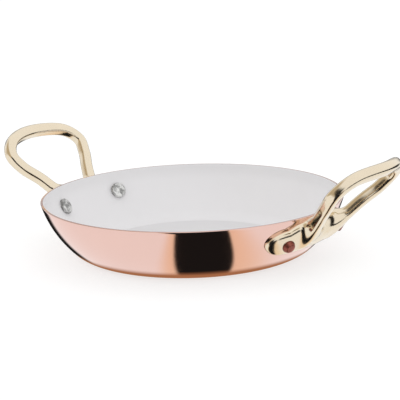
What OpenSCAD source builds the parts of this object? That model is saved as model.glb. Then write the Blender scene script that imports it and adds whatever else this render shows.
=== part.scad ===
// Round serving pan with two cast loop handles.
// Millimetres, +Z up. The origin is the centre of the flat base, and the handles lie along X.

/* [Pan] */
// Outside diameter at the rim
rim_d = 160; // [140:1:220]
// Height from the table to the rim
pan_h = 29.5; // [26:0.5:38]
// Diameter of the flat part of the base
base_d = 108; // [90:1:120]
// Outside radius of the corner between base and wall
corner_r = 15.5; // [10:0.5:20]
// Outside radius of the wall's gentle outward curve, seen in section
wall_r = 56; // [46:1:90]
// Thickness of the copper
copper_t = 1.3; // [1:0.1:2]
// Thickness of the steel lining
lining_t = 0.2; // [0.2:0.05:0.5]

/* [Handle loop] */
// How far the middle of the bar stands out beyond the rim
loop_reach = 33.8; // [28:0.1:44]
// How far the middle of the bar stands above the rim
loop_rise = 24.6; // [18:0.1:32]
// Distance between the bar's centre lines where the loop is widest
loop_w = 56.2; // [50:0.2:66]
// Distance between the legs' centre lines where they leave the foot
neck_w = 26.8; // [22:0.2:32]
// Width of the bar along the legs, across the loop
bar_w = 6.1; // [5:0.1:8]
// Width of the bar at its middle, where it is held
grip_w = 7; // [5:0.1:10]
// Thickness of the bar, through the loop
bar_t = 6; // [5:0.1:8]
// Gap between the wall and a leg where the leg leaves the foot
leg_gap = 1.4; // [1:0.1:3]
// Height of a leg's centre line where it leaves the foot
leg_z = 23.6; // [21:0.1:25]
// Width of a leg at its lower end, where it spreads into the foot
root_w = 10.4; // [8:0.1:12]
// Thickness of a leg at its lower end
root_t = 5.6; // [4:0.1:6.5]
// Distance between the legs' centre lines at their lower ends
root_gap = 15.6; // [14:0.2:28]

/* [Handle foot] */
// Length of the foot, measured round the wall
foot_len = 70; // [66:0.5:84]
// Height of the foot, measured up the wall
foot_h = 14.4; // [12:0.2:16]
// Thickness of the foot
foot_t = 3.8; // [3:0.1:5]
// How much higher the foot's upper edge runs midway between the rivets
web_rise = 4.6; // [0:0.1:5]
// Thickness of the foot's upper part where a leg runs into it
shoulder_t = 7.4; // [5.4:0.1:8]
// Distance between the two thick places, measured round the wall
shoulder_gap = 24; // [20:0.5:26]
// Length over which a thick place slopes down toward its rivet
shoulder_len = 7.5; // [5:0.5:8]
// Length over which a thick place slopes down toward the middle of the foot
web_len = 5; // [3:0.5:6]
// Height of the foot's middle and of the rivets above the table
foot_z = 18.4; // [16.5:0.1:19]

/* [Rivets] */
// Distance between the two rivets of a handle, measured round the wall
rivet_gap = 47; // [42:0.5:52]
// Diameter of a rivet's shank
shank_d = 4.5; // [3.5:0.1:5.5]
// Diameter of a rivet's outer head where it meets the foot
head_d = 6.6; // [6:0.1:8]
// Diameter of the flat end of the outer head
head_top_d = 4.6; // [3.8:0.1:5.4]
// Height of the outer head
head_h = 2.3; // [1.5:0.1:3]
// Diameter of the steel cap inside the pan
cap_d = 8.8; // [7:0.1:10]
// Thickness of the cap
cap_t = 1.9; // [1.2:0.1:2.4]
// Radius of the cap's rounded edge
cap_round = 0.7; // [0.4:0.1:1]
// Clearance round a shank in its holes
rivet_fit = 0.05; // [0:0.01:0.2]

/* [Hidden] */

round_fn = 96;
small_fn = 48;
cut = 1;

rim_r = rim_d / 2;
base_r = base_d / 2;
wall_t = copper_t + lining_t;

// The wall's arc is tangent to the corner's arc and passes through the rim.
// Both centres lie in the section plane, written as [radius, height].
corner_c = [base_r, corner_r];
rim_p = [rim_r, pan_h];
centres_gap = wall_r - corner_r;
rim_way = rim_p - corner_c;
rim_far = norm(rim_way);
along = (rim_far * rim_far + centres_gap * centres_gap - wall_r * wall_r) / (2 * rim_far);
aside = sqrt(centres_gap * centres_gap - along * along);
rim_dir = rim_way / rim_far;
wall_c = corner_c + along * rim_dir + aside * [-rim_dir.y, rim_dir.x];

// Angles are measured from straight down, about the arc's own centre.
meet_angle = atan2(corner_c.x - wall_c.x, wall_c.y - corner_c.y);
function wall_angle(z) = acos((wall_c.y - z) / wall_r);
function arc_point(c, r, angle) = c + r * [sin(angle), -cos(angle)];

// A place on the wall: turned round the pan by "turn", up the wall by "angle", and "off" from its outside.
function on_wall(turn, angle, off) =
  let (p = arc_point(wall_c, wall_r + off, angle))
  [p.x * cos(turn), p.x * sin(turn), p.y];

foot_angle = wall_angle(foot_z);
foot_r = arc_point(wall_c, wall_r, foot_angle).x;
function turn_of(length) = length / foot_r * 180 / PI;
function lift_of(length) = length / wall_r * 180 / PI;
rivet_turn = turn_of(rivet_gap / 2);

// The pan's section

corner_steps = 8;
wall_steps = 12;

// Outline from the centre of the base to the rim, "inset" inside the pan's outer face
function bowl_line(inset) =
  let (end = acos((wall_c.y - pan_h) / (wall_r - inset)))
  concat(
    [[0, inset]],
    [for (i = [0 : corner_steps]) arc_point(corner_c, corner_r - inset, meet_angle * i / corner_steps)],
    [for (i = [1 : wall_steps])
      arc_point(wall_c, wall_r - inset, meet_angle + (end - meet_angle) * i / wall_steps)]
  );

function reversed(list) = [for (i = [len(list) - 1 : -1 : 0]) list[i]];

module bowl_skin(outer, inner) {
  rotate_extrude($fn = round_fn)
    polygon(concat(bowl_line(outer), reversed(bowl_line(inner))));
}

// Places a child's +Z along the outward normal of a rivet's place, with its origin on the pan's outer face.
module at_rivet(side, hand) {
  rotate([0, 0, side + hand * rivet_turn])
    translate([foot_r, 0, foot_z])
      rotate([0, 180 - foot_angle, 0])
        children();
}

module at_all_rivets() {
  for (side = [0, 180], hand = [-1, 1])
    at_rivet(side, hand)
      children();
}

// A hole that passes through the wall and the foot
module rivet_hole() {
  reach = wall_t + foot_t + cut;
  translate([0, 0, -wall_t - cut])
    cylinder(d = shank_d + 2 * rivet_fit, h = reach + cut, $fn = small_fn);
}

module copper_shell() {
  color([0.93, 0.66, 0.58])
    difference() {
      bowl_skin(0, copper_t);
      at_all_rivets() rivet_hole();
    }
}

module steel_lining() {
  color([0.86, 0.86, 0.86])
    difference() {
      bowl_skin(copper_t, wall_t);
      at_all_rivets() rivet_hole();
    }
}

// Closed skin through rings of equal length, with flat ends
module loft(rings) {
  n = len(rings[0]);
  last = len(rings) - 1;
  faces = concat(
    [[for (k = [0 : n - 1]) k]],
    [for (i = [0 : last - 1], k = [0 : n - 1])
      let (a = i * n + k, b = i * n + (k + 1) % n)
      each [[a, a + n, b], [b, a + n, b + n]]],
    [[for (k = [n - 1 : -1 : 0]) last * n + k]]
  );
  polyhedron(points = [for (ring = rings) each ring], faces = faces);
}

// The foot: a plate that follows the wall, with domed pads, and thickened where the legs run into it

face_round = 2.8;
end_round = 2.2;
outline_round = 1.85;
rise_round = 2.5;
pad_steps = 7;
web_steps = 24;
face_steps = 13;
seat_steps = 7;
pad_end = foot_len / 2 - rivet_gap / 2;
foot_lift = lift_of(foot_h / 2);
last_share = 0.995;

// Height of a rounded form over a place between its middle, 0, and its edge, 1
function bulge(share, roundness) = pow(max(0, 1 - pow(abs(share), roundness)), 1 / roundness);

// How far the foot has thickened toward a leg, at a place round the wall
function shoulder(place) =
  let (away = abs(place) - shoulder_gap / 2, reach = away < 0 ? web_len : shoulder_len)
  (1 + cos(180 * min(1, abs(away) / reach))) / 2;

// Each station is [place round the wall, share of the full height, thickness, share of the rise,
// extra thickness at the upper edge].
pad_stations = [for (i = [1 : pad_steps])
  let (share = sin(90 * i / pad_steps) * last_share)
  [rivet_gap / 2 + pad_end * share, bulge(share, outline_round), foot_t * bulge(share, end_round), 0, 0]];
web_stations = [for (i = [0 : web_steps])
  let (share = 2 * i / web_steps - 1, place = rivet_gap / 2 * share)
  [place, 1, foot_t, 1 - pow(abs(share), rise_round), (shoulder_t - foot_t) * shoulder(place)]];
foot_stations = concat(
  [for (s = reversed(pad_stations)) [-s[0], s[1], s[2], s[3], s[4]]],
  web_stations,
  pad_stations
);

function foot_ring(s) =
  let (
    turn = turn_of(s[0]),
    low = foot_angle - foot_lift * s[1],
    high = foot_angle + foot_lift * s[1] + lift_of(web_rise) * s[3],
    middle = (low + high) / 2,
    half = (high - low) / 2
  )
  concat(
    [for (i = [0 : seat_steps]) on_wall(turn, low + (high - low) * i / seat_steps, 0)],
    [for (i = [1 : face_steps - 1])
      let (share = cos(180 * i / face_steps), thick = s[2] + s[4] * (1 + share) / 2)
      on_wall(turn, middle + half * share, thick * bulge(share, face_round))]
  );

module foot() {
  loft([for (s = foot_stations) foot_ring(s)]);
}

// A flat seat cut into the domed foot for the outer head
seat_t = foot_t * bulge(head_d / foot_h, face_round);
module head_seat() {
  translate([0, 0, seat_t])
    cylinder(d = head_d + 2 * rivet_fit, h = foot_t - seat_t + cut, $fn = small_fn);
}

// The loop: a rounded square bar swept along a smooth line from one leg's root to the other's

bar_squareness = 3.4;
ring_sides = 20;
span_steps = 5;

// A leg ends inside the foot, most of the way down it.
root_share = 0.8;
root_angle = foot_angle - foot_lift * root_share;
root_p = on_wall(0, root_angle, foot_t / 2);
neck_r = wall_r + leg_gap + bar_t / 2;
neck_p = arc_point(wall_c, neck_r, acos((wall_c.y - leg_z) / neck_r));
bar_mid = [rim_r + loop_reach, pan_h + loop_rise];

// Shares of the way out from neck to bar, of the spread from neck to widest, and of the way up
leg_shares = [[0.25, 0.42, 0.28], [0.47, 0.84, 0.5], [0.67, 1, 0.74]];
// The bar's corner: shares of the way out, of half the loop's width, and of the way up
bend_share = [0.86, 0.7, 0.945];

function loop_place(out_share, across, up_share) = [
  neck_p.x + (bar_mid.x - neck_p.x) * out_share,
  across,
  neck_p.y + (bar_mid.y - neck_p.y) * up_share
];

half_line = concat(
  [[root_p.x, root_gap / 2, root_p.z], loop_place(0, neck_w / 2, 0)],
  [for (s = leg_shares) loop_place(s[0], (neck_w + (loop_w - neck_w) * s[1]) / 2, s[2])],
  [loop_place(bend_share[0], loop_w / 2 * bend_share[1], bend_share[2])]
);
flip = [for (p = reversed(half_line)) [p.x, -p.y, p.z]];
loop_keys = concat(half_line, [loop_place(1, 0, 1)], flip);
key_last = len(loop_keys) - 1;

// Smooth curve through the key places
function key(i) =
  i < 0 ? 2 * loop_keys[0] - loop_keys[1]
  : i > key_last ? 2 * loop_keys[key_last] - loop_keys[key_last - 1]
  : loop_keys[i];
function smooth(a, b, c, d, t) =
  (2 * b + (c - a) * t + (2 * a - 5 * b + 4 * c - d) * t * t + (3 * b - a - 3 * c + d) * t * t * t) / 2;
function loop_point(u) =
  let (i = min(floor(u), key_last - 1))
  smooth(key(i - 1), key(i), key(i + 1), key(i + 2), u - i);

loop_count = key_last * span_steps;
loop_line = [for (i = [0 : loop_count]) loop_point(i / span_steps)];
function unit(v) = v / norm(v);
function heading(i) = unit(loop_line[min(i + 1, loop_count)] - loop_line[max(i - 1, 0)]);

// Square to the loop's own slope
loop_slope = atan2(bar_mid.y - neck_p.y, bar_mid.x - neck_p.x);
loop_face = [-sin(loop_slope), 0, cos(loop_slope)];

function rounded(value) = sign(value) * pow(abs(value), 2 / bar_squareness);

// The leg spreads between its neck and its root, where it thins down into the foot, and the bar swells
// between its two corners.
spread_steps = 2 * span_steps;
grip_steps = 2 * span_steps;
tip_steps = 7;
tip_share = 0.4;
function from_end(i) = min(i, loop_count - i);
function spread(i) = pow(max(0, 1 - from_end(i) / spread_steps), 2);
function grip(i) = (1 + cos(180 * min(1, abs(i - loop_count / 2) / grip_steps))) / 2;
function tip(i) =
  let (left = max(0, 1 - from_end(i) / tip_steps))
  sqrt(1 - (1 - tip_share * tip_share) * left * left);

function loop_ring(i) =
  let (
    ahead = heading(i),
    across = unit(cross(ahead, loop_face)),
    above = cross(across, ahead),
    w = bar_w + (root_w - bar_w) * spread(i) + (grip_w - bar_w) * grip(i),
    t = (bar_t + (root_t - bar_t) * spread(i)) * tip(i)
  )
  [for (k = [0 : ring_sides - 1])
    let (angle = 360 * k / ring_sides)
    loop_line[i] - across * rounded(cos(angle)) * w / 2 + above * rounded(sin(angle)) * t / 2];

module loop() {
  loft([for (i = [0 : loop_count]) loop_ring(i)]);
}

// One casting: the foot with its two rivet holes, and the loop
module handle() {
  color([0.86, 0.76, 0.55])
    union() {
      difference() {
        foot();
        for (hand = [-1, 1])
          at_rivet(0, hand) {
            rivet_hole();
            head_seat();
          }
      }
      loop();
    }
}

module handle_right() {
  handle();
}

module handle_left() {
  rotate([0, 0, 180])
    handle();
}

// The cap's flat underside rests on the hollow wall at its upper and lower edges.
cap_lift = pow(cap_d / 2, 2) / (2 * (wall_r - wall_t));

module rivet() {
  color([0.55, 0.26, 0.22])
    rotate_extrude($fn = small_fn)
      polygon([
        [0, -wall_t - cap_lift],
        [shank_d / 2, -wall_t - cap_lift],
        [shank_d / 2, seat_t],
        [head_d / 2, seat_t],
        [head_d / 2, seat_t + head_h / 4],
        [(head_d + head_top_d) / 4, seat_t + head_h * 3 / 4],
        [head_top_d / 2, seat_t + head_h],
        [0, seat_t + head_h]
      ]);
}

module rivet_cap() {
  color([0.7, 0.7, 0.7])
    translate([0, 0, -wall_t - cap_lift])
      mirror([0, 0, 1])
        rotate_extrude($fn = small_fn)
          polygon(concat(
            [[0, 0], [cap_d / 2, 0]],
            [for (i = [0 : 6])
              [cap_d / 2 - cap_round, cap_t - cap_round] + cap_round * [cos(15 * i), sin(15 * i)]],
            [[0, cap_t]]
          ));
}

copper_shell();
steel_lining();
handle_right();
handle_left();
at_rivet(0, -1) rivet();  // rivet_right_front
at_rivet(0, 1) rivet();  // rivet_right_back
at_rivet(180, 1) rivet();  // rivet_left_front
at_rivet(180, -1) rivet();  // rivet_left_back
at_rivet(0, -1) rivet_cap();  // rivet_cap_right_front
at_rivet(0, 1) rivet_cap();  // rivet_cap_right_back
at_rivet(180, 1) rivet_cap();  // rivet_cap_left_front
at_rivet(180, -1) rivet_cap();  // rivet_cap_left_back
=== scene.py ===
"""Round serving pan with two cast loop handles, dressed for a studio view.

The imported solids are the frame. Each operator below models one piece, or one group of like pieces, in the
same place and at the same size. All lengths are in metres, +Z is up, and the handles lie along X.
"""

import math
from functools import partial

import bmesh
import bpy
from bpy.props import FloatProperty, FloatVectorProperty, IntProperty, PointerProperty
from bpy.types import NodeSocket, Operator, Panel, PropertyGroup
from mathutils import Matrix, Vector
from mathutils.bvhtree import BVHTree
from mathutils.interpolate import poly_3d_calc


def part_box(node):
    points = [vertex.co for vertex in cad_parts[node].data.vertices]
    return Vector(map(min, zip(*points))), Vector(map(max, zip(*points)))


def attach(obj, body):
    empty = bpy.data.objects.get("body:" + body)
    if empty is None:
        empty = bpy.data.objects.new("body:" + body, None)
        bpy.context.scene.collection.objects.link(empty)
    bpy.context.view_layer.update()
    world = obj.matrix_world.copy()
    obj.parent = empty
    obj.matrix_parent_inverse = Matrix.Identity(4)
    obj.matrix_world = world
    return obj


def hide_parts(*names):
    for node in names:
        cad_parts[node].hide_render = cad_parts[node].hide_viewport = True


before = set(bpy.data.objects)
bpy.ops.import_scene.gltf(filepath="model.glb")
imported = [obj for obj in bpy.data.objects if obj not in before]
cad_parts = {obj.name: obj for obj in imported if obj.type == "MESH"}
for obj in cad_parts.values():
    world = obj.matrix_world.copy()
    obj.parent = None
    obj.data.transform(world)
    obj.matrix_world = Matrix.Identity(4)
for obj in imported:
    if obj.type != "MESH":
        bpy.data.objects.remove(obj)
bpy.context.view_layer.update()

bl_info = {
    "name": "Serving Pan",
    "version": (1, 0, 0),
    "blender": (4, 5, 0),
    "location": "3D View > Sidebar > Pan",
    "description": "Models a round copper serving pan with cast loop handles",
    "category": "Add Mesh",
}

BODY = "root"
SIDES = {"right": 0.0, "left": math.pi}
HANDS = {"front": -1, "back": 1}

# Defaults that come from the frame
rim_low, rim_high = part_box("copper_shell")
RIM_DIAMETER = rim_high.x - rim_low.x
PAN_HEIGHT = rim_high.z

# How finely the pieces are drawn, and how far two places may differ and still be the same
FOOT_GRID = (240, 60)
BEND_STEPS = 14
BAR_EDGE_STEPS = 6
RIM_EDGE_STEPS = 3
BUTTON_EDGE_STEPS = 4
SLACK = 0.00001
LEAST_TURN = 0.0000001

# How far a drill reaches from the wall's outer face, into the pan and out of it, and out through the foot
DRILL_DEPTH = 0.004
DRILL_THROUGH_FOOT = 0.008

# The foot's rounded ends start at this share of half its length, and stop just short of a point
PAD_FROM = 0.6
PAD_END = 0.9995

# The loop's bends from the neck to its middle: how far out, how far spread and how far up. The last one's
# spread is a share of the loop's half width, and the others' is a share of the way from the neck to that.
LOOP_BENDS = ((0.25, 0.42, 0.28), (0.47, 0.84, 0.5), (0.67, 1, 0.74))
LAST_BEND = (0.86, 0.7, 0.945)

# A leg's root is thicker and wider over this many bends, and its very end is drawn in to a share of its
# thickness. The grip's width runs out over as many bends from the middle of the loop.
ROOT_REACH = 2
GRIP_REACH = 2
TIP_REACH = 0.8
TIP_SHARE = 0.4

# Share of an outer rivet head's height that is straight, below its taper
HEAD_STRAIGHT = 0.3


def maker(kind, **settings):
    """A short way to write properties of one kind: name, default and what it is."""
    return lambda name, default, about: kind(name=name, default=default, description=about, **settings)


length = maker(FloatProperty, min=0, precision=5, subtype="DISTANCE", unit="LENGTH")
focal_length = maker(FloatProperty, min=1, subtype="DISTANCE_CAMERA")
angle = maker(FloatProperty, subtype="ANGLE", unit="ROTATION")
share = maker(FloatProperty, min=0, soft_max=1, subtype="FACTOR")
amount = maker(FloatProperty, min=0)
power = maker(FloatProperty, min=1)
count = maker(IntProperty, min=1)
colour = maker(FloatVectorProperty, min=0, max=1, size=3, subtype="COLOR")


class PanSizes(PropertyGroup):
    rim_diameter: length("Rim diameter", RIM_DIAMETER, "Outside diameter at the rim")
    height: length("Height", PAN_HEIGHT, "Height from the table to the rim")
    base_diameter: length("Base diameter", 0.108, "Diameter of the flat part of the base")
    corner_radius: length("Corner radius", 0.0155, "Outside radius of the corner between base and wall")
    wall_radius: length("Wall radius", 0.056, "Outside radius of the wall's curve, seen in section")
    copper: length("Copper thickness", 0.0013, "Thickness of the copper")
    lining: length("Lining thickness", 0.0002, "Thickness of the steel lining")
    rim_round: length("Rim rounding", 0.00035, "Radius of the rim's outer edge")
    turns: count("Turn steps", 256, "Steps round the pan")
    corner_steps: count("Corner steps", 20, "Steps along the corner's arc")
    wall_steps: count("Wall steps", 28, "Steps along the wall's arc")


class HandleSizes(PropertyGroup):
    reach: length("Reach", 0.0338, "How far the middle of the bar stands out beyond the rim")
    rise: length("Rise", 0.0246, "How far the middle of the bar stands above the rim")
    widest: length("Loop width", 0.0562, "Widest distance between the bar's centre lines")
    neck_gap: length("Neck gap", 0.0268, "Distance between the legs' centre lines where they leave the foot")
    neck_height: length("Neck height", 0.0236, "Height of a leg's centre line where it leaves the foot")
    leg_gap: length("Leg gap", 0.0014, "Gap between the wall and a leg where it leaves the foot")
    root_gap: length("Root gap", 0.0156, "Distance between the legs' centre lines at their lower ends")
    bar_width: length("Bar width", 0.0061, "Width of the bar along the legs")
    grip_width: length("Grip width", 0.007, "Width of the bar at its middle")
    bar_thickness: length("Bar thickness", 0.006, "Thickness of the bar, through the loop")
    root_width: length("Root width", 0.0104, "Width of a leg at its lower end")
    root_thickness: length("Root thickness", 0.0056, "Thickness of a leg at its lower end")
    root_height: share("Root height", 0.1, "How far up the foot's upper half a leg's lower end lies")
    bar_round: length("Bar rounding", 0.0021, "Radius of the bar's rounded edges")
    foot_length: length("Foot length", 0.07, "Length of the foot, measured round the wall")
    foot_height: length("Foot height", 0.0144, "Height of the foot, measured up the wall")
    foot_thickness: length("Foot thickness", 0.0038, "Thickness of the foot")
    sunk: length("Foot sunk", 0.0009, "How deep the foot is drawn into the wall, before that is cut away")
    dome_power: power("Dome squareness", 2.8, "Squareness of the foot's section up the wall. 2 is round")
    end_power: power("End squareness", 2.2, "Squareness of its section at its two ends")
    outline_power: power("Outline squareness", 1.85, "Squareness of the outline of its two ends")
    rise_power: power("Rise squareness", 2.5, "Squareness of the rise of its upper edge")
    foot_place: length("Foot place", 0.0184, "Height of the foot's middle above the table")
    web_rise: length("Web rise", 0.0046, "How much higher the foot's upper edge runs between the rivets")
    shoulder: length("Shoulder thickness", 0.0062, "Thickness of the foot where a leg runs into it")
    shoulder_gap: length("Shoulder gap", 0.024, "Distance between the two thick places, round the wall")
    shoulder_length: length("Shoulder length", 0.0075, "Length of the slope from a thick place to its rivet")
    web_length: length("Web length", 0.005, "Length of the slope from a thick place to the foot's middle")
    voxel: length("Casting grain", 0.00034, "Size of the grid on which foot and loop are cast into one")
    melt: count("Melt", 8, "Smoothing passes over the whole casting")
    fillet: length("Fillet", 0.005, "Reach of the rounding in the corners between foot and legs")


class RivetSizes(PropertyGroup):
    gap: length("Rivet gap", 0.047, "Distance between the two rivets of a handle, measured round the wall")
    shank: length("Shank diameter", 0.0045, "Diameter of a rivet's shank")
    clearance: length("Clearance", 0.00005, "Clearance round a shank in its holes")
    head: length("Head diameter", 0.0066, "Diameter of the outer head where it meets the foot")
    head_top: length("Head end diameter", 0.0046, "Diameter of the flat end of the outer head")
    head_height: length("Head height", 0.0023, "Height of the outer head")
    head_round: length("Head rounding", 0.00045, "Radius of the outer head's edges")
    cap: length("Cap diameter", 0.0088, "Diameter of the steel cap inside the pan")
    cap_height: length("Cap thickness", 0.0019, "Thickness of the cap")
    cap_round: length("Cap rounding", 0.0007, "Radius of the cap's edge")


class Finishes(PropertyGroup):
    copper: colour("Copper", (0.85, 0.585, 0.52), "Polished copper")
    lining: colour("Lining", (0.84, 0.83, 0.84), "Satin steel of the lining")
    brass: colour("Brass", (0.85, 0.74, 0.57), "Polished cast brass")
    # Painted shade: the lining's floor inside this radius is painted darker than its wall.
    floor_radius: length("Floor radius", 0.054, "Radius of the floor that is brushed apart from the wall")
    rivet: colour("Rivet copper", (0.30, 0.09, 0.065), "Darkened copper of the rivets")
    cap: colour("Cap steel", (0.50, 0.50, 0.49), "Mottled steel of the caps")


class Studio(PropertyGroup):
    azimuth: angle("Azimuth", math.radians(36.4), "Camera's place round the pan")
    elevation: angle("Elevation", math.radians(13.193), "Camera's height as an angle")
    roll: angle("Roll", math.radians(-1.835), "Camera's roll")
    distance: length("Distance", 0.682985, "From the camera to its target")
    aside: length("Target aside", 0.00397, "Target's place to the right of the pan's axis")
    target_height: length("Target height", 0.026153, "Target's height")
    lens: focal_length("Lens", 116.04, "Focal length")
    light: amount("Light", 1.0, "Strength of the studio's white walls")
    gap_edge: colour("Gap edge", (0.97, 0.78, 0.59), "Light of the walls next to the dark gap")
    gap_left: amount("Gap left", 0.5, "How much wider the gap gets to the left, toward level")
    gap_right: amount("Gap right", 0.2, "How much wider the gap gets to the right, toward level")
    warm_side: colour("Warm side", (0.56, 0.47, 0.34), "Light from the upper left")
    far_above: share("Far dark above", 0.45, "Darkness beyond the pan above level, as a share of that below")
    gap_light: amount("Gap light", 0.012, "Strength of what light the dark places give")


GROUPS = {
    "pan_sizes": PanSizes,
    "pan_handle": HandleSizes,
    "pan_rivets": RivetSizes,
    "pan_finishes": Finishes,
    "pan_studio": Studio,
}


# The pan's section and the places on its wall, worked out from the sizes


class Section:
    """The wall's arc is tangent to the corner's and passes through the rim. Centres are (radius, height)."""

    def __init__(self, sizes):
        self.sizes = sizes
        self.corner = Vector((sizes.base_diameter / 2, sizes.corner_radius))
        rim = Vector((sizes.rim_diameter / 2, sizes.height))
        centres = sizes.wall_radius - sizes.corner_radius
        way = rim - self.corner
        along = (way.length_squared + centres**2 - sizes.wall_radius**2) / (2 * way.length)
        aside = math.sqrt(centres**2 - along**2)
        out = way.normalized()
        self.wall = self.corner + along * out + aside * Vector((-out.y, out.x))
        self.meet = math.atan2(self.corner.x - self.wall.x, self.wall.y - self.corner.y)

    def wall_angle(self, height, off=0.0):
        return math.acos((self.wall.y - height) / (self.sizes.wall_radius + off))

    def rim_at(self, inset):
        """The angle up the wall, less that of the corner, and the radius at the rim of a face set in."""
        lift = self.wall_angle(self.sizes.height, -inset)
        return lift - self.meet, self.wall.x + (self.sizes.wall_radius - inset) * math.sin(lift)

    def at(self, turn, lift, off):
        """A place turned round the pan, up the wall by an angle, and off from its outside."""
        radius = self.sizes.wall_radius + off
        out = self.wall.x + radius * math.sin(lift)
        return Vector((out * math.cos(turn), out * math.sin(turn), self.wall.y - radius * math.cos(lift)))


class Seat:
    """Where the foot and the rivets sit on the wall."""

    def __init__(self, section, handle, rivets):
        self.lift = section.wall_angle(handle.foot_place)
        self.radius = section.at(0, self.lift, 0).x
        self.height = handle.foot_place
        self.rivet_turn = rivets.gap / 2 / self.radius

    def rivet(self, side, hand):
        """Turns +Z to the wall's outward normal at a rivet, with the origin on the pan's outer face."""
        return (
            Matrix.Rotation(SIDES[side] + HANDS[hand] * self.rivet_turn, 4, "Z")
            @ Matrix.Translation((self.radius, 0, self.height))
            @ Matrix.Rotation(math.pi - self.lift, 4, "Y")
        )


def sizes_of(context):
    scene = context.scene
    section = Section(scene.pan_sizes)
    return section, Seat(section, scene.pan_handle, scene.pan_rivets)


# Modelling helpers


def clear_selection():
    if bpy.context.object and bpy.context.object.mode != "OBJECT":
        leave_edit()
    bpy.ops.object.select_all(action="DESELECT")


def pick(piece):
    clear_selection()
    piece.select_set(True)
    bpy.context.view_layer.objects.active = piece


def name_active(name):
    piece = bpy.context.object
    piece.name = name
    piece.data.name = name
    return piece


def edit(by="VERT"):
    bpy.ops.object.mode_set(mode="EDIT")
    bpy.ops.mesh.select_mode(type=by)


def leave_edit():
    bpy.ops.object.mode_set(mode="OBJECT")


def take_all():
    bpy.ops.mesh.select_all(action="SELECT")


def add_point(name, place):
    """One vertex: a small plane merged to its middle."""
    clear_selection()
    bpy.ops.mesh.primitive_plane_add(size=0.001, location=(0, 0, 0))
    piece = name_active(name)
    edit()
    take_all()
    bpy.ops.mesh.merge(type="CENTER")
    bpy.ops.transform.translate(value=place)
    return piece


def draw_to(step):
    bpy.ops.mesh.extrude_region_move(TRANSFORM_OT_translate={"value": step})


def draw_arc(centre, steps, turn):
    """Draws on along an arc in the X-Z plane. A positive turn goes outwards and up from the lowest point."""
    bpy.ops.mesh.spin(steps=steps, angle=turn, center=(centre[0], 0, centre[1]), axis=(0, 1, 0))


def turn_all(steps):
    take_all()
    bpy.ops.mesh.spin(steps=steps, angle=2 * math.pi, center=(0, 0, 0), axis=(0, 0, 1))
    take_all()
    bpy.ops.mesh.remove_doubles(threshold=SLACK / 2)
    bpy.ops.mesh.normals_make_consistent(inside=False)


def bevel_ring(piece, radius, height, size, segments):
    """Rounds the edge that runs round the Z axis at this radius and height."""
    leave_edit()
    mesh = piece.data
    for part in (mesh.vertices, mesh.edges, mesh.polygons):
        part.foreach_set("select", [False] * len(part))
    places = [point.co for point in mesh.vertices]
    there = [abs(place.xy.length - radius) < SLACK and abs(place.z - height) < SLACK for place in places]
    for edge in mesh.edges:
        edge.select = all(there[i] for i in edge.vertices)
    if not any(edge.select for edge in mesh.edges):
        raise RuntimeError(f"{piece.name} has no edge at radius {radius} and height {height}")
    edit("EDGE")
    bpy.ops.mesh.bevel(offset=size, segments=segments, affect="EDGES")


def face_outwards(piece):
    """Makes the faces of a closed piece agree, and turns them round if they enclose less than nothing."""
    pick(piece)
    edit()
    take_all()
    bpy.ops.mesh.normals_make_consistent(inside=False)
    leave_edit()
    skin = bmesh.new()
    skin.from_mesh(piece.data)
    inside_out = skin.calc_volume(signed=True) < 0
    skin.free()
    if inside_out:
        piece.data.flip_normals()
    return piece


def apply_modifier(piece, kind, **settings):
    pick(piece)
    bpy.ops.object.modifier_add(type=kind)
    modifier = piece.modifiers[-1]
    for name, value in settings.items():
        setattr(modifier, name, value)
    bpy.ops.object.modifier_apply(modifier=modifier.name)
    return piece


def cut_away(piece, tool):
    apply_modifier(piece, "BOOLEAN", operation="DIFFERENCE", solver="EXACT", object=tool)
    bpy.data.objects.remove(tool)


def drop_idle_points(piece):
    """Takes out the points that a cut leaves on the way along an edge, where they only part two faces."""
    skin = bmesh.new()
    skin.from_mesh(piece.data)
    idle = [point for point in skin.verts if len(point.link_edges) == 2]
    bmesh.ops.dissolve_verts(skin, verts=idle)
    skin.to_mesh(piece.data)
    skin.free()


def copy_piece(piece, name, matrix):
    twin = piece.copy()
    twin.data = piece.data.copy()
    twin.name = name
    twin.data.name = name
    bpy.context.scene.collection.objects.link(twin)
    twin.data.transform(matrix)
    return twin


def finish_piece(piece, node, material, smooth_angle=35):
    pick(piece)
    if smooth_angle:
        bpy.ops.object.shade_smooth_by_angle(angle=math.radians(smooth_angle))
    piece.data.materials.clear()
    piece.data.materials.append(material)
    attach(piece, BODY)
    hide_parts(node)


def place_four(button, name, node, seat, material):
    """Copies a rivet or cap to its four places, where each copy stands for its own node."""
    for side in SIDES:
        for hand in HANDS:
            piece = copy_piece(button, f"{name}_{side}_{hand}", seat.rivet(side, hand))
            finish_piece(piece, f"{node}_{side}_{hand}", material)
    bpy.data.objects.remove(button)


def rivet_drill(seat, side, hand, rivets, depth_out, steps=64):
    """A cylinder that passes through the wall and the foot at one rivet."""
    clear_selection()
    bpy.ops.mesh.primitive_cylinder_add(
        vertices=steps,
        radius=rivets.shank / 2 + rivets.clearance,
        depth=DRILL_DEPTH + depth_out,
        location=(0, 0, (depth_out - DRILL_DEPTH) / 2),
    )
    drill = name_active("drill")
    bpy.ops.object.transform_apply(location=True, rotation=True, scale=True)
    drill.data.transform(seat.rivet(side, hand))
    return drill


def drill_rivet_holes(piece, seat, rivets, depth_out=DRILL_DEPTH, sides=SIDES):
    for side in sides:
        for hand in HANDS:
            cut_away(piece, rivet_drill(seat, side, hand, rivets, depth_out))


# Node tools


def add_node(tree, kind, inputs=None, **settings):
    node = tree.nodes.new(kind)
    for name, value in settings.items():
        setattr(node, name, value)
    for key, value in (inputs or {}).items():
        if isinstance(value, NodeSocket):
            tree.links.new(value, node.inputs[key])
        else:
            node.inputs[key].default_value = value
    return node


def empty_tree(owner):
    owner.use_nodes = True
    owner.node_tree.nodes.clear()
    return owner.node_tree


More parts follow.
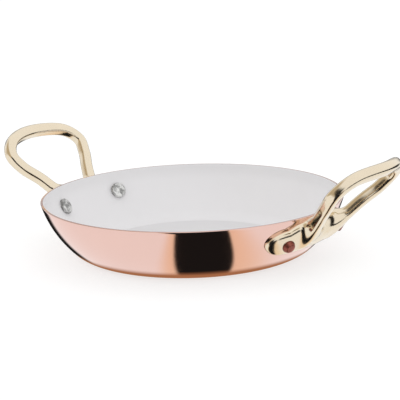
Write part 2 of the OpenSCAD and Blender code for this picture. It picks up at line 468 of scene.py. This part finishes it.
def calc(tree, operation, *values):
    return add_node(tree, "ShaderNodeMath", dict(enumerate(values)), operation=operation).outputs[0]


def spread_range(tree, value, low, high, to_low=0.0, to_high=1.0, smooth=False):
    return add_node(
        tree,
        "ShaderNodeMapRange",
        {"Value": value, "From Min": low, "From Max": high, "To Min": to_low, "To Max": to_high},
        interpolation_type="SMOOTHSTEP" if smooth else "LINEAR",
    ).outputs["Result"]


def mix_colour(tree, factor, first, second):
    """Sockets 0, 6 and 7 take the factor and the two colours, and 2 gives the result."""
    return add_node(tree, "ShaderNodeMix", {0: factor, 6: first, 7: second}, data_type="RGBA").outputs[2]


def rgba(values, times=1.0):
    return (*[min(1.0, v * times) for v in values], 1.0)


def noise(tree, place, scale, detail, roughness, distortion=0.0):
    values = {"Vector": place, "Scale": scale, "Detail": detail, "Roughness": roughness}
    return add_node(tree, "ShaderNodeTexNoise", {**values, "Distortion": distortion}).outputs[0]


def vector_number(tree, operation, *vectors):
    node = add_node(tree, "ShaderNodeVectorMath", dict(enumerate(vectors)), operation=operation)
    return node.outputs["Value"]


def radius_and_height(tree, place):
    """Distance of a place from the pan's axis, and its height."""
    parts = add_node(tree, "ShaderNodeSeparateXYZ", {0: place}).outputs
    flat = add_node(tree, "ShaderNodeCombineXYZ", {0: parts[0], 1: parts[1]}).outputs[0]
    return vector_number(tree, "LENGTH", flat), parts[2]


# Effects that materials share. Each takes a group's tree and inputs, and gives its outputs in order.


def hand_polish(tree, given, stretch=(1.0, 0.12, 1.0), scratched=0.04):
    """Slow drift in a polished surface, fine scratches, and a low height that bends reflections a little."""
    drift = noise(tree, given["Vector"], given["Drift scale"], detail=3.0, roughness=0.5)
    stretched = add_node(tree, "ShaderNodeMapping", {"Vector": given["Vector"], "Scale": stretch})
    marks = noise(tree, stretched.outputs[0], given["Scratch scale"], detail=2.0, roughness=0.6)
    scratches = spread_range(tree, marks, 0.45, 0.75)
    return drift, scratches, calc(tree, "MULTIPLY_ADD", scratches, scratched, drift)


def turned_rings(tree, given, patch_scale=28.0):
    """Fine rings about the Z axis, left by turning and satin brushing, and patches for an uneven strength."""
    radius, height = radius_and_height(tree, given["Vector"])
    way = calc(tree, "MULTIPLY", calc(tree, "ADD", radius, height), given["Rings per metre"])
    line = add_node(tree, "ShaderNodeCombineXYZ", {0: way}).outputs[0]
    rings = noise(tree, line, scale=1.0, detail=3.0, roughness=0.7)
    return rings, noise(tree, given["Vector"], patch_scale, detail=3.0, roughness=0.55)


def mottling(tree, given, pits_finer=2.2, pitted=0.35):
    """Hammered and stained metal: dark blotches, and a bumpy height with pits."""
    blotches = noise(tree, given["Vector"], given["Scale"], detail=4.0, roughness=0.6, distortion=0.6)
    pit_scale = calc(tree, "MULTIPLY", given["Scale"], pits_finer)
    pits = add_node(tree, "ShaderNodeTexVoronoi", {"Vector": given["Vector"], "Scale": pit_scale}).outputs[0]
    height = calc(tree, "ADD", blotches, calc(tree, "MULTIPLY", pits, pitted))
    return spread_range(tree, blotches, 0.38, 0.62, smooth=True), height


EFFECTS = {
    hand_polish: ({"Drift scale": 40.0, "Scratch scale": 900.0}, ("Drift", "Scratches", "Height")),
    turned_rings: ({"Rings per metre": 2600.0}, ("Rings", "Patches")),
    mottling: ({"Scale": 420.0}, ("Blotches", "Height")),
}


def in_words(name):
    return name.replace("_", " ").capitalize()


def build_effect(effect, name):
    numbers, results = EFFECTS[effect]
    group = bpy.data.node_groups.new(name, "ShaderNodeTree")
    add_socket = group.interface.new_socket
    add_socket(name="Vector", in_out="INPUT", socket_type="NodeSocketVector")
    for label, default in numbers.items():
        add_socket(name=label, in_out="INPUT", socket_type="NodeSocketFloat").default_value = default
    for label in results:
        add_socket(name=label, in_out="OUTPUT", socket_type="NodeSocketFloat")
    given = group.nodes.new("NodeGroupInput").outputs
    out = group.nodes.new("NodeGroupOutput").inputs
    for label, value in zip(results, effect(group, given)):
        group.links.new(value, out[label])
    return group


def place_effect(tree, effect, place, **numbers):
    """Places a shared effect in a material, and builds its group if no material has it yet."""
    name = in_words(effect.__name__)
    group = bpy.data.node_groups.get(name) or build_effect(effect, name)
    inputs = {in_words(label): value for label, value in numbers.items()}
    return add_node(tree, "ShaderNodeGroup", {"Vector": place, **inputs}, node_tree=group).outputs


# Materials


def build_material(paint, finish):
    """Builds a material once and names it after its paint, which works in the piece's own coordinates."""
    name = in_words(paint.__name__)
    material = bpy.data.materials.get(name)
    if material is None:
        material = bpy.data.materials.new(name)
        tree = empty_tree(material)
        shader = tree.nodes.new("ShaderNodeBsdfPrincipled")
        add_node(tree, "ShaderNodeOutputMaterial", {"Surface": shader.outputs[0]})
        paint(tree, shader, tree.nodes.new("ShaderNodeTexCoord").outputs["Object"], finish)
    return material


def set_surface(tree, shader, base, mask, rough, over=(0.0, 1.0), metallic=1.0):
    """Links the colour, and a roughness that runs from one value to the other over a range of the mask."""
    tree.links.new(base, shader.inputs["Base Color"])
    tree.links.new(spread_range(tree, mask, *over, *rough), shader.inputs["Roughness"])
    shader.inputs["Metallic"].default_value = metallic


def raise_bump(tree, shader, height, distance, strength=1.0):
    bump = add_node(tree, "ShaderNodeBump", {"Height": height, "Distance": distance, "Strength": strength})
    tree.links.new(bump.outputs[0], shader.inputs["Normal"])


def polished_copper(tree, shader, place, finish):
    rings = place_effect(tree, turned_rings, place, rings_per_metre=1500.0)
    polish = place_effect(tree, hand_polish, place, drift_scale=22.0)
    base = mix_colour(tree, rings["Patches"], rgba(finish.copper), rgba(finish.copper, 0.94))
    set_surface(tree, shader, base, rings["Rings"], rough=(0.05, 0.09), over=(0.3, 0.7))
    raise_bump(tree, shader, polish["Height"], distance=0.00004)


def satin_steel(tree, shader, place, finish, blend=0.0006, painted_shade_heights=(0.021, 0.028)):
    """Painted shade: the wall is painted a little darker over the heights given last, and the floor is
    painted darker and blends into it.
    """
    rings = place_effect(tree, turned_rings, place, rings_per_metre=3200.0)
    radius, height = radius_and_height(tree, place)
    edge = finish.floor_radius
    # Painted shade: the floor inside the floor radius is painted darker than the wall, and the blend softens
    # its edge.
    painted_shade_floor = spread_range(tree, radius, edge + blend, edge - blend, smooth=True)
    wall = mix_colour(tree, rings["Patches"], rgba(finish.lining), rgba(finish.lining, 0.97))
    # Painted shade: the lining's wall is painted darker toward the rim, over the heights given.
    high = spread_range(tree, height, *painted_shade_heights, smooth=True)
    wall = mix_colour(tree, high, wall, rgba(finish.lining, 0.93))
    base = mix_colour(tree, painted_shade_floor, wall, rgba(finish.lining, 0.87))
    set_surface(tree, shader, base, rings["Rings"], rough=(0.42, 0.52), over=(0.3, 0.7), metallic=0.03)
    shader.inputs["Specular IOR Level"].default_value = 0.25
    raise_bump(tree, shader, rings["Rings"], distance=0.00001, strength=0.3)


def cast_brass(tree, shader, place, finish):
    polish = place_effect(tree, hand_polish, place, drift_scale=90.0)
    base = mix_colour(tree, polish["Drift"], rgba(finish.brass), rgba(finish.brass, 0.93))
    set_surface(tree, shader, base, polish["Scratches"], rough=(0.15, 0.2))


def darkened_copper(tree, shader, place, finish):
    mottle = place_effect(tree, mottling, place, scale=380.0)
    base = mix_colour(tree, mottle["Blotches"], rgba(finish.rivet, 0.75), rgba(finish.rivet, 1.25))
    set_surface(tree, shader, base, mottle["Blotches"], rough=(0.42, 0.3), metallic=0.85)
    raise_bump(tree, shader, mottle["Height"], distance=0.00012)


def mottled_steel(tree, shader, place, finish):
    mottle = place_effect(tree, mottling, place, scale=330.0)
    base = mix_colour(tree, mottle["Blotches"], rgba(finish.cap, 0.55), rgba(finish.cap, 1.5))
    set_surface(tree, shader, base, mottle["Blotches"], rough=(0.45, 0.28))
    raise_bump(tree, shader, mottle["Height"], distance=0.00025)


# Pieces


def model_skin(name, section, outer, inner):
    """The pan's section, drawn from the axis to the rim and back, and turned. It is full if inner is None."""
    sizes, corner, wall = section.sizes, section.corner, section.wall
    turn, radius = section.rim_at(outer)
    piece = add_point(name, (0, 0, outer))
    draw_to((corner.x, 0, 0))
    draw_arc(corner, sizes.corner_steps, section.meet)
    draw_arc(wall, sizes.wall_steps, turn)
    if inner is None:
        draw_to((-radius, 0, 0))
    else:
        back_turn, in_radius = section.rim_at(inner)
        draw_to((in_radius - radius, 0, 0))
        draw_arc(wall, sizes.wall_steps, -back_turn)
        draw_arc(corner, sizes.corner_steps, -section.meet)
        draw_to((-corner.x, 0, 0))
    turn_all(sizes.turns)
    leave_edit()
    return piece


class PAN_OT_copper_shell(Operator):
    """Models the copper shell: base, rounded corner, curved wall and the four rivet holes"""

    bl_idname = "pan.copper_shell"
    bl_label = "Copper Shell"
    bl_options = {"REGISTER", "UNDO"}

    def execute(self, context):
        scene = context.scene
        sizes = scene.pan_sizes
        section, seat = sizes_of(context)
        shell = model_skin("polished_shell", section, 0.0, sizes.copper)
        bevel_ring(shell, sizes.rim_diameter / 2, sizes.height, sizes.rim_round, RIM_EDGE_STEPS)
        drill_rivet_holes(shell, seat, scene.pan_rivets)
        metal = build_material(polished_copper, scene.pan_finishes)
        finish_piece(shell, "copper_shell", metal)
        return {"FINISHED"}


class PAN_OT_steel_lining(Operator):
    """Models the thin steel lining that is bonded to the inside of the copper"""

    bl_idname = "pan.steel_lining"
    bl_label = "Steel Lining"
    bl_options = {"REGISTER", "UNDO"}

    def execute(self, context):
        scene = context.scene
        sizes = scene.pan_sizes
        section, seat = sizes_of(context)
        lining = model_skin("satin_lining", section, sizes.copper, sizes.copper + sizes.lining)
        drill_rivet_holes(lining, seat, scene.pan_rivets)
        metal = build_material(satin_steel, scene.pan_finishes)
        finish_piece(lining, "steel_lining", metal)
        return {"FINISHED"}


def shoulder_at(handle, along):
    """How far the foot has thickened toward a leg, from 0 to 1."""
    away = abs(along) - handle.shoulder_gap / 2
    reach = handle.web_length if away < 0 else handle.shoulder_length
    return (1 + math.cos(math.pi * min(1, abs(away) / reach))) / 2


def bulge(part, roundness):
    """Height of a rounded form over a place between its middle, 0, and its edge, 1."""
    return max(0.0, 1 - abs(part) ** roundness) ** (1 / roundness)


def model_foot(section, seat, handle, rivets):
    """The foot is a fine grid, domed over its outline, laid on the wall and made thicker at the legs."""
    half = handle.foot_height / 2
    end = (handle.foot_length - rivets.gap) / 2
    extra = handle.shoulder - handle.foot_thickness
    clear_selection()
    bpy.ops.mesh.primitive_grid_add(
        x_subdivisions=FOOT_GRID[0], y_subdivisions=FOOT_GRID[1], size=2, location=(0, 0, 0)
    )
    foot = name_active("foot")
    edit()
    take_all()
    draw_to((0, 0, -1))
    take_all()
    bpy.ops.mesh.normals_make_consistent(inside=False)
    leave_edit()
    for point in foot.data.vertices:
        place, across, below = point.co
        past = max(0.0, abs(place) - PAD_FROM) / (1 - PAD_FROM)
        pad = math.sin(math.pi / 2 * past) * PAD_END
        along = math.copysign(rivets.gap / 2 * min(1.0, abs(place) / PAD_FROM) + end * pad, place)
        rise = 1 - min(1.0, abs(place) / PAD_FROM) ** handle.rise_power
        edge = math.sin(math.pi / 2 * across)
        upper = (edge + 1) / 2
        up = half * bulge(pad, handle.outline_power) * edge
        up += handle.web_rise * rise * upper
        thick = handle.foot_thickness * bulge(pad, handle.end_power)
        thick += extra * shoulder_at(handle, along) * upper
        off = thick * bulge(edge, handle.dome_power) if below > -0.5 else -handle.sunk
        point.co = section.at(along / seat.radius, seat.lift + up / section.sizes.wall_radius, off)
    return foot


def loop_line(section, seat, handle):
    """Centre line of the loop, a smooth curve through its bends, and the normal of the plane near it."""
    foot_half = handle.foot_height / 2 / section.sizes.wall_radius
    root = section.at(0, seat.lift + foot_half * handle.root_height, handle.foot_thickness / 2)
    off = handle.leg_gap + handle.bar_thickness / 2
    neck = section.at(0, section.wall_angle(handle.neck_height, off), off)
    middle = Vector((section.sizes.rim_diameter / 2 + handle.reach, 0, section.sizes.height + handle.rise))

    def place(out, across, up):
        return Vector((neck.x + (middle.x - neck.x) * out, across, neck.z + (middle.z - neck.z) * up))

    narrow, wide = handle.neck_gap / 2, handle.widest / 2
    half = [Vector((root.x, handle.root_gap / 2, root.z)), place(0, narrow, 0)]
    for out, spread, up in LOOP_BENDS:
        half.append(place(out, narrow + (wide - narrow) * spread, up))
    half.append(place(LAST_BEND[0], wide * LAST_BEND[1], LAST_BEND[2]))
    other = [Vector((p.x, -p.y, p.z)) for p in reversed(half)]
    keys = half + [place(1, 0, 1)] + other
    last = len(keys) - 1
    ends = [2 * keys[0] - keys[1], *keys, 2 * keys[-1] - keys[-2]]
    line = []
    for i in range(last * BEND_STEPS + 1):
        step = min(i // BEND_STEPS, last - 1)
        t = i / BEND_STEPS - step
        a, b, c, d = ends[step : step + 4]
        bend = (2 * a - 5 * b + 4 * c - d) * t**2 + (3 * b - a - 3 * c + d) * t**3
        line.append((2 * b + (c - a) * t + bend) / 2)
    slope = math.atan2(middle.z - neck.z, middle.x - neck.x)
    return line, Vector((-math.sin(slope), 0, math.cos(slope)))


def loop_places(section, seat, handle):
    """Places along the loop, each with the bar's axes there, its width and its thickness."""
    line, face = loop_line(section, seat, handle)
    total = len(line) - 1
    rings = []
    for i, centre in enumerate(line):
        ahead = (line[min(i + 1, total)] - line[max(i - 1, 0)]).normalized()
        across = ahead.cross(face).normalized()
        above = across.cross(ahead)
        end = min(i, total - i) / BEND_STEPS
        spread = max(0.0, 1 - end / ROOT_REACH) ** 2
        grip = (1 + math.cos(math.pi * min(1, abs(i - total / 2) / BEND_STEPS / GRIP_REACH))) / 2
        tip = math.sqrt(1 - (1 - TIP_SHARE**2) * max(0.0, 1 - end / TIP_REACH) ** 2)
        width = handle.bar_width + (handle.root_width - handle.bar_width) * spread
        width += (handle.grip_width - handle.bar_width) * grip
        depth = (handle.bar_thickness + (handle.root_thickness - handle.bar_thickness) * spread) * tip
        rings.append((centre, Matrix((across, above, ahead)).transposed(), width, depth))
    return rings


def model_loop(section, seat, handle):
    """A rounded square is drawn, then extruded, turned and sized from place to place along the loop."""
    rings = loop_places(section, seat, handle)
    centre, axes, width, depth = rings[0]
    clear_selection()
    bpy.ops.mesh.primitive_plane_add(size=1, location=(0, 0, 0))
    loop = name_active("loop")
    edit()
    take_all()
    bpy.ops.transform.resize(value=(handle.bar_width, handle.bar_thickness, 1))
    bpy.ops.mesh.bevel(offset=handle.bar_round, segments=BAR_EDGE_STEPS, affect="VERTICES")
    take_all()
    bpy.ops.transform.resize(value=(width / handle.bar_width, depth / handle.bar_thickness, 1))
    leave_edit()
    loop.data.transform(Matrix.Translation(centre) @ axes.to_4x4())
    edit("EDGE")
    take_all()
    bpy.ops.mesh.delete(type="ONLY_FACE")
    take_all()
    for before, after in zip(rings, rings[1:]):
        bpy.ops.mesh.extrude_edges_move(TRANSFORM_OT_translate={"value": after[0] - before[0]})
        turn = (after[1] @ before[1].inverted()).to_euler("XYZ")
        for axis, part in zip("XYZ", turn):
            if abs(part) > LEAST_TURN:
                bpy.ops.transform.rotate(value=-part, orient_axis=axis, center_override=after[0])
        bpy.ops.transform.resize(
            value=(after[2] / before[2], after[3] / before[3], 1),
            orient_type="GLOBAL",
            orient_matrix=after[1],
            orient_matrix_type="GLOBAL",
            center_override=after[0],
        )
    take_all()
    bpy.ops.mesh.fill_holes(sides=0)
    return face_outwards(loop)


def surface_of(piece):
    """Gives the signed distance from a place to the piece's skin, and the skin's smooth normal there."""
    points = [point.co.copy() for point in piece.data.vertices]
    normals = [point.normal.copy() for point in piece.data.vertices]
    faces = [tuple(face.vertices) for face in piece.data.polygons]
    tree = BVHTree.FromPolygons(points, faces)

    def away(place):
        nearest, _, index, gap = tree.find_nearest(place)
        shares = poly_3d_calc([points[i] for i in faces[index]], nearest)
        normal = sum((normals[i] * part for i, part in zip(faces[index], shares)), Vector()).normalized()
        return (gap if (place - nearest).dot(normal) >= 0 else -gap), normal

    return away


def together(to_foot, to_loop, fillet, place):
    """Distance to, and normal of, one smooth surface that follows foot and loop and rounds the corners."""
    near, near_way = to_foot(place)
    far, far_way = to_loop(place)
    part = min(1.0, max(0.0, 0.5 + 0.5 * (far - near) / fillet))
    return far + (near - far) * part - fillet * part * (1 - part), far_way.lerp(near_way, part)


def on_cut(section, seat, rivets, place, margin=0.00012):
    """Tells whether a place on the right handle lies against the wall or in a rivet hole."""
    away = Vector((place.xy.length - section.wall.x, place.z - section.wall.y)).length
    if away < section.sizes.wall_radius + margin:
        return True
    hole = rivets.shank / 2 + rivets.clearance + margin
    return any((seat.rivet("right", hand).inverted() @ place).xy.length < hole for hand in HANDS)


def cast_together(casting, surface, fixed, rounds=4, least=0.1):
    """Moves the points of the casting onto the smooth surface, apart from those that are fixed."""
    for point in casting.data.vertices:
        place = point.co.copy()
        if fixed(place):
            continue
        for _ in range(rounds):
            height, way = surface(place)
            place -= way * (height / max(way.length_squared, least))
        point.co = place


def shade_as(casting, surface, skin=0.00003, widest=0.6):
    """Gives face corners on the smooth surface that surface's own normals, so that reflections run clean."""
    found = []
    for point in casting.data.vertices:
        height, way = surface(point.co)
        found.append(way.normalized() if abs(height) < skin else None)
    corners = []
    for face in casting.data.polygons:
        for i in face.vertices:
            given = found[i]
            own = given is not None and given.dot(face.normal) > widest
            corners.append(given if own else face.normal.copy())
    casting.data.normals_split_custom_set(corners)


class PAN_OT_handles(Operator):
    """Models one cast handle, foot and loop in one, and its twin on the other side"""

    bl_idname = "pan.handles"
    bl_label = "Handles"
    bl_options = {"REGISTER", "UNDO"}

    def execute(self, context):
        scene = context.scene
        handle, rivets = scene.pan_handle, scene.pan_rivets
        section, seat = sizes_of(context)
        foot = model_foot(section, seat, handle, rivets)
        loop = apply_modifier(model_loop(section, seat, handle), "SUBSURF", levels=2, render_levels=2)
        casting = copy_piece(foot, "cast_handle_right", Matrix())
        other = copy_piece(loop, "other", Matrix())
        pick(casting)
        other.select_set(True)
        bpy.ops.object.join()
        apply_modifier(casting, "REMESH", mode="VOXEL", voxel_size=handle.voxel)
        apply_modifier(casting, "SMOOTH", factor=0.5, iterations=handle.melt)
        cut_away(casting, model_skin("bowl", section, 0.0, None))
        drill_rivet_holes(casting, seat, rivets, DRILL_THROUGH_FOOT, sides=("right",))
        drop_idle_points(casting)
        surface = partial(together, surface_of(foot), surface_of(loop), handle.fillet)
        cast_together(casting, surface, partial(on_cut, section, seat, rivets))
        shade_as(casting, surface)
        for piece in (foot, loop):
            bpy.data.objects.remove(piece)
        twin = copy_piece(casting, "cast_handle_left", Matrix.Rotation(math.pi, 4, "Z"))
        metal = build_material(cast_brass, scene.pan_finishes)
        finish_piece(casting, "handle_right", metal, None)
        finish_piece(twin, "handle_left", metal, None)
        return {"FINISHED"}


def spun_button(name, outline, round_at, size, steps=64):
    """An outline is drawn from the axis and back to it, and turned, and the edges named are rounded."""
    piece = add_point(name, (outline[0][0], 0, outline[0][1]))
    for before, after in zip(outline, outline[1:]):
        draw_to((after[0] - before[0], 0, after[1] - before[1]))
    turn_all(steps)
    for radius, height in round_at:
        bevel_ring(piece, radius, height, size, BUTTON_EDGE_STEPS)
    leave_edit()
    return piece


def cap_underside(sizes, rivets):
    """The cap's flat underside rests on the hollow inner wall along its upper and lower edges."""
    hollow = sizes.wall_radius - sizes.copper - sizes.lining
    return -sizes.copper - sizes.lining - (rivets.cap / 2) ** 2 / (2 * hollow)


class PAN_OT_rivets(Operator):
    """Models a copper rivet, shank and tapered outer head, and places the four"""

    bl_idname = "pan.rivets"
    bl_label = "Rivets"
    bl_options = {"REGISTER", "UNDO"}

    def execute(self, context):
        scene = context.scene
        handle, rivets = scene.pan_handle, scene.pan_rivets
        low = cap_underside(scene.pan_sizes, rivets)
        shank, head, top = rivets.shank / 2, rivets.head / 2, rivets.head_top / 2
        under = handle.foot_thickness * bulge(rivets.head / handle.foot_height, handle.dome_power)
        shoulder, end = under + rivets.head_height * HEAD_STRAIGHT, under + rivets.head_height
        outline = [(0, low), (shank, low), (shank, under), (head, under)]
        outline += [(head, shoulder), (top, end), (0, end)]
        rivet = spun_button("rivet", outline, [(head, shoulder), (top, end)], rivets.head_round)
        metal = build_material(darkened_copper, scene.pan_finishes)
        place_four(rivet, "turned_rivet", "rivet", sizes_of(context)[1], metal)
        return {"FINISHED"}


class PAN_OT_caps(Operator):
    """Models the steel cap that covers a rivet inside the pan, and places the four"""

    bl_idname = "pan.caps"
    bl_label = "Rivet Caps"
    bl_options = {"REGISTER", "UNDO"}

    def execute(self, context):
        scene = context.scene
        rivets = scene.pan_rivets
        high = cap_underside(scene.pan_sizes, rivets)
        low = high - rivets.cap_height
        edge = rivets.cap / 2
        outline = [(0, low), (edge, low), (edge, high), (0, high)]
        cap = spun_button("cap", outline, [(edge, low)], rivets.cap_round)
        metal = build_material(mottled_steel, scene.pan_finishes)
        place_four(cap, "turned_cap", "rivet_cap", sizes_of(context)[1], metal)
        return {"FINISHED"}


# Stage: the camera, what polished metal mirrors, and the floor

NEAREST_SEEN = 0.01
FLOOR_SIZE = 6
WHITE = (1, 1, 1, 1)

# What polished metal mirrors, by direction. A pair says where something starts and where it is in full, as
# the part of a direction that points across to the right, near to the camera, or up.
LEVEL = (0.01, -0.01)
BESIDE_HEIGHT, BESIDE_ACROSS = (0.34, 0.26), (0.5, 0.62)
FAR_MIDDLE, FAR_LEFT, LEFT_OF_MIDDLE = (-0.86, -0.92), (-0.76, -0.84), (0.0, -0.12)
STAND_NEAR, STAND_TOP = (0.74, 0.8), (0.62, 0.47)
STAND_RIGHT, STAND_LEFT = (0.08, 0.0), (-0.62, -0.54)
WARM_ACROSS, WARM_NEAR, WARM_UP = (-0.12, -0.5), (-0.75, -0.2), (0.0, 0.15)

# The dark gap below the camera is drawn on a level plane instead: across and near over the height. Its left
# and right edges are lines, each with a slope and a start, and a warm glow runs along them.
LEAST_HEIGHT = 0.02
GAP_FRONT = (-1.0, -0.9)
GAP_LEFT_LINE, GAP_RIGHT_LINE = (-0.128, -0.149), (0.245, 0.303)
GAP_WIDENS_FROM = 0.9
GAP_EDGE, GLOW_LEFT, GLOW_RIGHT = (-0.02, 0.02), (-0.16, -0.02), (-0.45, -0.02)

# The floor's white, and a painted shadow under the pan: a glowing copper-orange disc that only polished metal
# sees, for the shade and bounced copper light there
FLOOR_MATT, FLOOR_SHOWN = (0.9, 0.9, 0.9, 1), (0.34, 0.34, 0.34, 1)
FLOOR_GLOW = 0.72
PAINTED_SHADOW_UNDER_PAN, PAINTED_SHADOW_RADIUS = (0.43, 0.215, 0.105, 1), (0.0655, 0.0616)


def level_ways(studio):
    """The level directions across the picture to the right, and from the pan toward the camera."""
    turn = studio.azimuth
    return Vector((math.cos(turn), math.sin(turn), 0)), Vector((math.sin(turn), -math.cos(turn), 0))


def place_camera(scene, studio):
    right, near = level_ways(studio)
    ahead = -near * math.cos(studio.elevation) - Vector((0, 0, math.sin(studio.elevation)))
    above = right.cross(ahead)
    roll = studio.roll
    local_x = math.cos(roll) * right + math.sin(roll) * above
    local_y = -math.sin(roll) * right + math.cos(roll) * above
    target = right * studio.aside + Vector((0, 0, studio.target_height))
    clear_selection()
    bpy.ops.object.camera_add(location=(0, 0, 0))
    camera = bpy.context.object
    camera.name = "studio_camera"
    axes = Matrix((local_x, local_y, -ahead)).transposed().to_4x4()
    camera.matrix_world = Matrix.Translation(target - ahead * studio.distance) @ axes
    camera.data.lens = studio.lens
    camera.data.clip_start = NEAREST_SEEN
    scene.camera = camera


def mirrored_room(tree, studio):
    """What polished metal sees: white walls, the dark gap with its glow, and dark things about the pan."""
    times, most, least, minus, over, line = (
        partial(calc, tree, kind)
        for kind in ("MULTIPLY", "MAXIMUM", "MINIMUM", "SUBTRACT", "DIVIDE", "MULTIPLY_ADD")
    )
    way = tree.nodes.new("ShaderNodeTexCoord").outputs["Generated"]

    def along(axis):
        return vector_number(tree, "DOT_PRODUCT", way, tuple(axis))

    def soft(value, ends):
        return spread_range(tree, value, *ends, smooth=True)

    across, near, up = (along(axis) for axis in (*level_ways(studio), (0, 0, 1)))
    below = soft(up, LEVEL)
    height = most(calc(tree, "ABSOLUTE", up), LEAST_HEIGHT)
    aside, front = over(across, height), over(near, height)
    wider = most(minus(front, GAP_WIDENS_FROM), 0.0)
    past_left = minus(aside, line(wider, -studio.gap_left, line(front, *GAP_LEFT_LINE)))
    past_right = minus(line(wider, studio.gap_right, line(front, *GAP_RIGHT_LINE)), aside)
    in_front = times(below, soft(front, GAP_FRONT))
    gap = times(soft(least(past_left, past_right), GAP_EDGE), in_front)
    glow = times(least(soft(past_left, GLOW_LEFT), soft(past_right, GLOW_RIGHT)), in_front)
    beside = times(times(soft(height, BESIDE_HEIGHT), below), soft(across, BESIDE_ACROSS))
    far = most(soft(near, FAR_MIDDLE), times(soft(near, FAR_LEFT), soft(across, LEFT_OF_MIDDLE)))
    far = times(far, spread_range(tree, below, 0.0, 1.0, studio.far_above, 1.0))
    stand = times(soft(near, STAND_NEAR), minus(soft(up, STAND_TOP), below))
    stand = times(stand, times(soft(across, STAND_RIGHT), soft(across, STAND_LEFT)))
    dark = most(most(gap, stand), most(far, beside))
    warm = times(times(soft(across, WARM_ACROSS), soft(near, WARM_NEAR)), soft(up, WARM_UP))
    walls = mix_colour(tree, glow, WHITE, rgba(studio.gap_edge))
    walls = mix_colour(tree, warm, walls, rgba(studio.warm_side))
    return mix_colour(tree, dark, walls, rgba((studio.gap_light,) * 3))


def light_world(scene, studio):
    """White walls all round, and the mirrored room for polished metal alone."""
    world = scene.world or bpy.data.worlds.new("Studio")
    scene.world = world
    tree = empty_tree(world)
    rays = tree.nodes.new("ShaderNodeLightPath").outputs
    seen = mix_colour(tree, rays["Is Glossy Ray"], WHITE, mirrored_room(tree, studio))
    background = add_node(tree, "ShaderNodeBackground", {"Color": seen, "Strength": studio.light})
    add_node(tree, "ShaderNodeOutputWorld", {"Surface": background.outputs[0]})


def floor_material():
    """Matt white to the camera and to soft light. Polished metal sees only the painted shadow in it, a
    glowing disc under the pan.
    """
    material = bpy.data.materials.new("Studio floor")
    tree = empty_tree(material)
    rays = tree.nodes.new("ShaderNodeLightPath").outputs
    place = tree.nodes.new("ShaderNodeTexCoord").outputs["Object"]

    def shader(kind, inputs=None):
        return add_node(tree, f"ShaderNode{kind}", inputs).outputs[0]

    shown = shader("BsdfDiffuse", {"Color": FLOOR_SHOWN})
    lit = shader("AddShader", {0: shown, 1: shader("Emission", {"Color": WHITE, "Strength": FLOOR_GLOW})})
    matt = shader("BsdfDiffuse", {"Color": FLOOR_MATT})
    for_camera = shader("MixShader", {0: rays["Is Camera Ray"], 1: matt, 2: lit})
    # Painted shadow: a glowing copper-orange disc under the pan, seen only in reflections, stands in for the
    # shade there.
    under = spread_range(tree, vector_number(tree, "LENGTH", place), *PAINTED_SHADOW_RADIUS, smooth=True)
    dark = shader("Emission", {"Color": PAINTED_SHADOW_UNDER_PAN, "Strength": 1.0})
    for_polish = shader("MixShader", {0: under, 1: shader("BsdfTransparent"), 2: dark})
    both = shader("MixShader", {0: rays["Is Glossy Ray"], 1: for_camera, 2: for_polish})
    add_node(tree, "ShaderNodeOutputMaterial", {"Surface": both})
    return material


class PAN_OT_stage(Operator):
    """Sets the floor, the studio light and the camera"""

    bl_idname = "pan.stage"
    bl_label = "Stage"
    bl_options = {"REGISTER", "UNDO"}

    def execute(self, context):
        scene = context.scene
        clear_selection()
        bpy.ops.mesh.primitive_plane_add(size=FLOOR_SIZE, location=(0, 0, 0))
        floor = name_active("floor")
        floor.data.materials.append(floor_material())
        light_world(scene, scene.pan_studio)
        place_camera(scene, scene.pan_studio)
        scene.view_settings.view_transform = "Standard"
        return {"FINISHED"}


OPERATORS = (
    PAN_OT_copper_shell,
    PAN_OT_steel_lining,
    PAN_OT_handles,
    PAN_OT_rivets,
    PAN_OT_caps,
    PAN_OT_stage,
)


class PAN_PT_sidebar(Panel):
    """Lists the pan's pieces and their sizes"""

    bl_idname = "PAN_PT_sidebar"
    bl_label = "Serving Pan"
    bl_space_type = "VIEW_3D"
    bl_region_type = "UI"
    bl_category = "Pan"

    def draw(self, context):
        column = self.layout.column()
        for operator in OPERATORS:
            column.operator(operator.bl_idname)
        for name, group in GROUPS.items():
            box = self.layout.box()
            for key in group.__annotations__:
                box.prop(getattr(context.scene, name), key)


CLASSES = (*GROUPS.values(), *OPERATORS, PAN_PT_sidebar)


def register():
    for each in CLASSES:
        bpy.utils.register_class(each)
    for name, group in GROUPS.items():
        setattr(bpy.types.Scene, name, PointerProperty(type=group))


def unregister():
    for name in GROUPS:
        delattr(bpy.types.Scene, name)
    for each in reversed(CLASSES):
        bpy.utils.unregister_class(each)


def main():
    register()
    bpy.ops.pan.copper_shell()
    bpy.ops.pan.steel_lining()
    bpy.ops.pan.handles()
    bpy.ops.pan.rivets()
    bpy.ops.pan.caps()
    bpy.ops.pan.stage()


if __name__ == "__main__":
    main()
